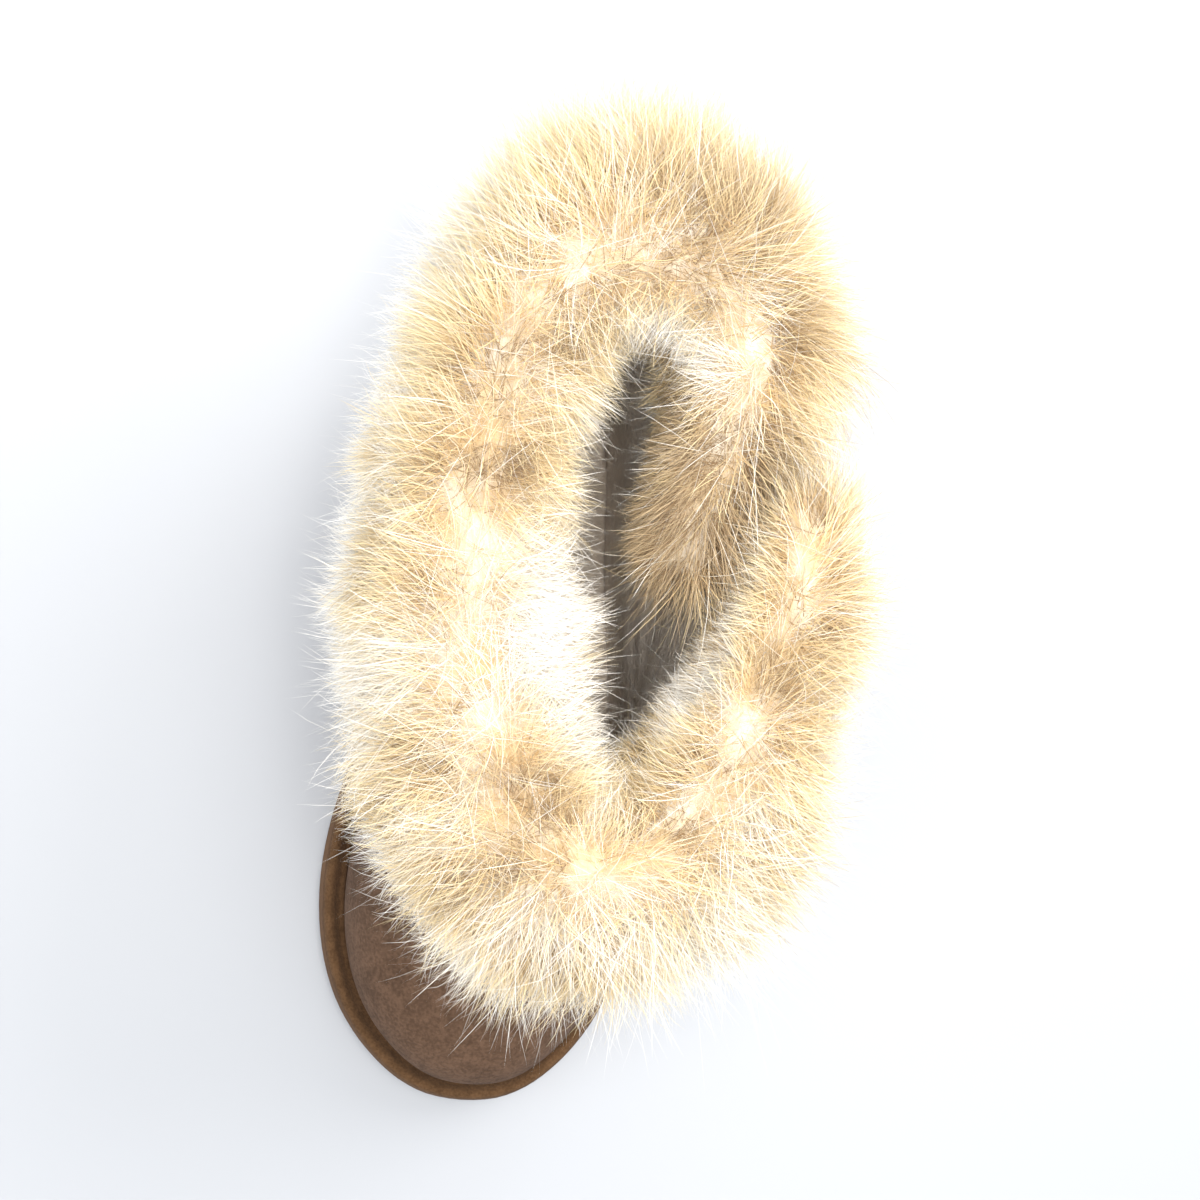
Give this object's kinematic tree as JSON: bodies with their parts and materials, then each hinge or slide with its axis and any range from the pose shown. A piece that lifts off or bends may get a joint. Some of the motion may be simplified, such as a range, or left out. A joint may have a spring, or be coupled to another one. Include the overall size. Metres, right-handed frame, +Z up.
{
  "type": "sheepskin boot",
  "caption": "Short suede sheepskin boot for the left foot, on a low rubber sole, with a deep turned fur cuff that is slit on its outer side.",
  "frame": {"origin": "on the floor, at the middle of the heel's flat tread", "axes": "+Z up, toe towards -Y, heel towards +Y, outer side of the foot towards +X"},
  "size_m": [0.1482, 0.3111, 0.24],
  "materials": {
    "outsole": "matt, brown, fine tread",
    "welt": "matt, brown",
    "insole": "short taupe pile",
    "upper": "brown suede outside, short taupe pile inside",
    "fur_cuff": "deep cream, gold and white fur"
  },
  "bodies": {
    "root": {"outsole": "outsole", "welt": "welt", "insole": "insole", "upper": "upper", "fur_cuff": "fur_cuff"}
  },
  "joints": []
}
